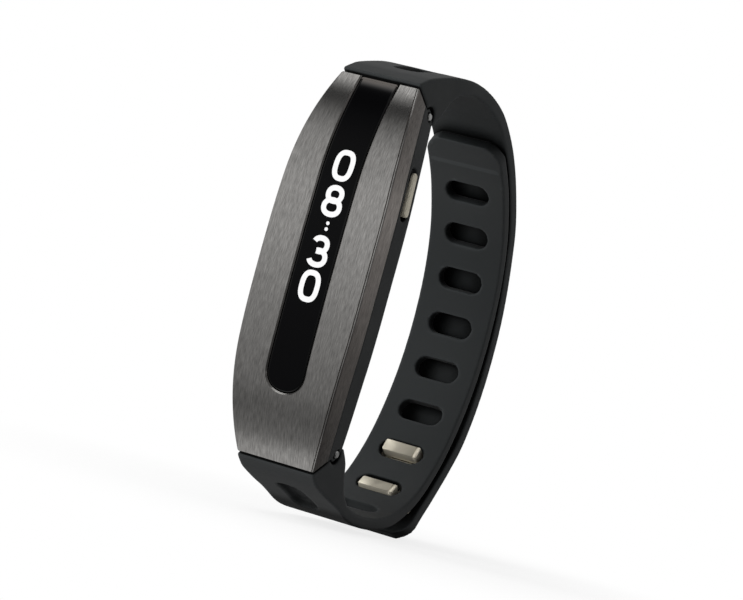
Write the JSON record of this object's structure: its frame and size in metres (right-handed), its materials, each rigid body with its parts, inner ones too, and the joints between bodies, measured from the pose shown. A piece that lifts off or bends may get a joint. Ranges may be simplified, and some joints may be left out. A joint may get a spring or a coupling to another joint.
{
  "type": "fitness tracker band",
  "caption": "Slim wrist activity tracker: curved metal-faced module with a narrow display and side button, on a slotted strap with a push-through peg clasp.",
  "frame": {"origin": "centre of the flat charging pad on the back cover, which faces the wrist", "axes": "+X across the band along the wrist, towards the side button; +Y from the charging pad into the loop, away from the display; +Z along the module towards the end where the window runs out"},
  "size_m": [0.0179, 0.0522, 0.0672],
  "materials": {
    "gunmetal": "dark gunmetal, brushed along the band",
    "lens_black": "gloss black, curved",
    "black_plastic": "matte",
    "strap_rubber": "matte black elastomer",
    "seal_rubber": "matte",
    "champagne": "satin, warm champagne tone",
    "steel": "turned, satin",
    "gold": "gold plated",
    "display_glass": "gloss black",
    "board_green": "solder mask",
    "chip_black": "moulded",
    "ceramic": "fired ceramic",
    "flex_orange": "polyimide film",
    "battery_silver": "foil pouch"
  },
  "bodies": {
    "module": {"faceplate": "gunmetal", "display_lens": "lens_black", "housing": "black_plastic", "back_cover": "black_plastic", "cover_gasket": "seal_rubber", "cover_screw_1": "steel", "cover_screw_2": "steel", "cover_screw_3": "steel", "cover_screw_4": "steel", "charge_contact_upper": "gold", "charge_contact_lower": "gold", "oled_panel": "display_glass", "main_board": "board_green", "processor": "chip_black", "motion_sensor": "chip_black", "memory_chip": "chip_black", "button_switch": "steel", "antenna": "ceramic", "display_flex": "flex_orange", "battery": "battery_silver", "vibration_motor": "steel", "upper_bar_tube": "steel", "upper_bar_spring": "steel", "lower_bar_tube": "steel", "lower_bar_spring": "steel"},
    "button": {"side_button": "champagne"},
    "upper_strap": {"upper_strap": "strap_rubber"},
    "clasp_end": {"upper_strap_end": "strap_rubber", "clasp_plate": "champagne", "clasp_peg_upper": "champagne", "clasp_peg_lower": "champagne"},
    "lower_strap": {"lower_strap": "strap_rubber"},
    "upper_tip_right": {"upper_bar_tip_right": "steel"},
    "upper_tip_left": {"upper_bar_tip_left": "steel"},
    "lower_tip_right": {"lower_bar_tip_right": "steel"},
    "lower_tip_left": {"lower_bar_tip_left": "steel"}
  },
  "joints": [
    {"name": "side_button_press", "type": "slide", "parent": "module", "child": "button", "axis": [-1, 0, 0], "range_m": [0, 0.00035]},
    {"name": "upper_strap_swing", "type": "hinge", "parent": "module", "child": "upper_strap", "pos_m": [0, 0.0016, 0.0247], "axis": [1, 0, 0], "range_deg": [0, 2.3]},
    {"name": "clasp_peel", "type": "hinge", "parent": "upper_strap", "child": "clasp_end", "pos_m": [0, 0.04284, -0.01575], "axis": [1, 0, 0], "range_deg": [0, 50]},
    {"name": "lower_strap_swing", "type": "hinge", "parent": "module", "child": "lower_strap", "pos_m": [0, 0.0016, -0.0247], "axis": [1, 0, 0], "range_deg": [-1.6, 0]},
    {"name": "upper_bar_tip_right_slide", "type": "slide", "parent": "module", "child": "upper_tip_right", "axis": [-1, 0, 0], "range_m": [0, 0.0015], "deforming": ["upper_bar_spring"]},
    {"name": "upper_bar_tip_left_slide", "type": "slide", "parent": "module", "child": "upper_tip_left", "axis": [1, 0, 0], "range_m": [0, 0.0015], "deforming": ["upper_bar_spring"]},
    {"name": "lower_bar_tip_right_slide", "type": "slide", "parent": "module", "child": "lower_tip_right", "axis": [-1, 0, 0], "range_m": [0, 0.0015], "deforming": ["lower_bar_spring"]},
    {"name": "lower_bar_tip_left_slide", "type": "slide", "parent": "module", "child": "lower_tip_left", "axis": [1, 0, 0], "range_m": [0, 0.0015], "deforming": ["lower_bar_spring"]}
  ],
  "couplings": [
    {"joint": "upper_strap_swing", "follows": "clasp_peel", "ratio": 0.045},
    {"joint": "lower_strap_swing", "follows": "clasp_peel", "ratio": -0.03}
  ]
}
